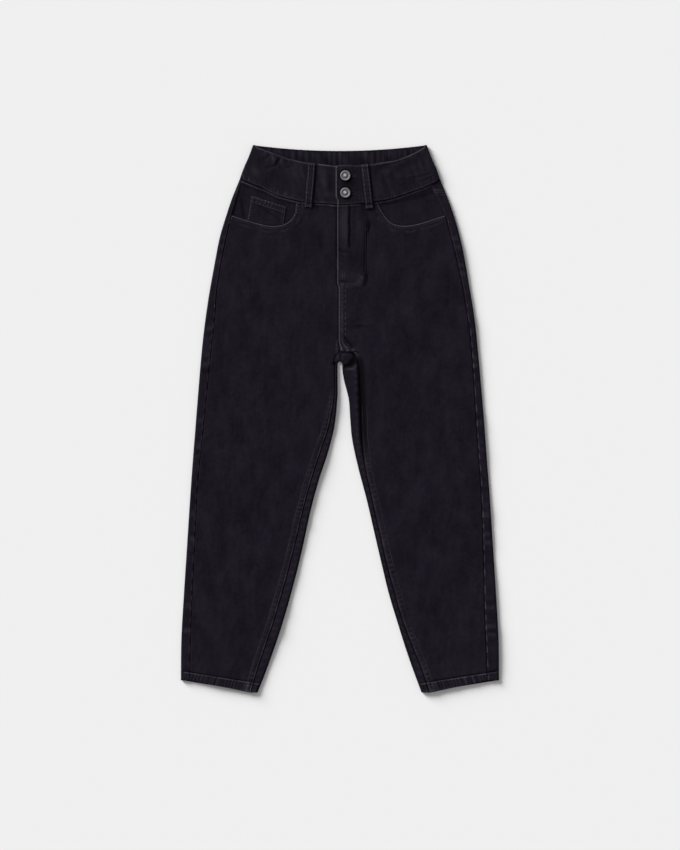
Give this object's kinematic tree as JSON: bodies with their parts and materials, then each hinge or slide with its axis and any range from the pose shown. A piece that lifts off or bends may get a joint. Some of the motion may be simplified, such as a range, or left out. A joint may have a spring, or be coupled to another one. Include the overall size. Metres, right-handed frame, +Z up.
{
  "type": "mom jeans",
  "caption": "Black denim mom jeans laid flat on their back: high contoured waistband, lapped button front, scooped pockets, full hips and tapered ankle-length legs.",
  "frame": {"origin": "on the surface the jeans lie on, under the middle of their outline", "axes": "+Z up from the surface, +Y along the legs towards the waist, +X towards the wearer's left leg"},
  "size_m": [0.5888, 1.013, 0.0117],
  "materials": {
    "black_denim": "matte",
    "dull_nickel": "satin"
  },
  "bodies": {
    "root": {"back_panel_right": "black_denim", "back_panel_left": "black_denim", "front_panel_right": "black_denim", "front_panel_left": "black_denim", "back_yoke_right": "black_denim", "back_yoke_left": "black_denim", "back_pocket_right": "black_denim", "back_pocket_left": "black_denim", "pocket_facing_right": "black_denim", "pocket_facing_left": "black_denim", "coin_pocket": "black_denim", "fly_shield": "black_denim", "waistband_back": "black_denim", "waistband_front_right": "black_denim", "waistband_front_left": "black_denim", "belt_loop_front_right": "black_denim", "belt_loop_front_left": "black_denim", "belt_loop_back_right": "black_denim", "belt_loop_back_centre": "black_denim", "belt_loop_back_left": "black_denim", "button_upper": "dull_nickel", "button_lower": "dull_nickel"}
  },
  "joints": []
}
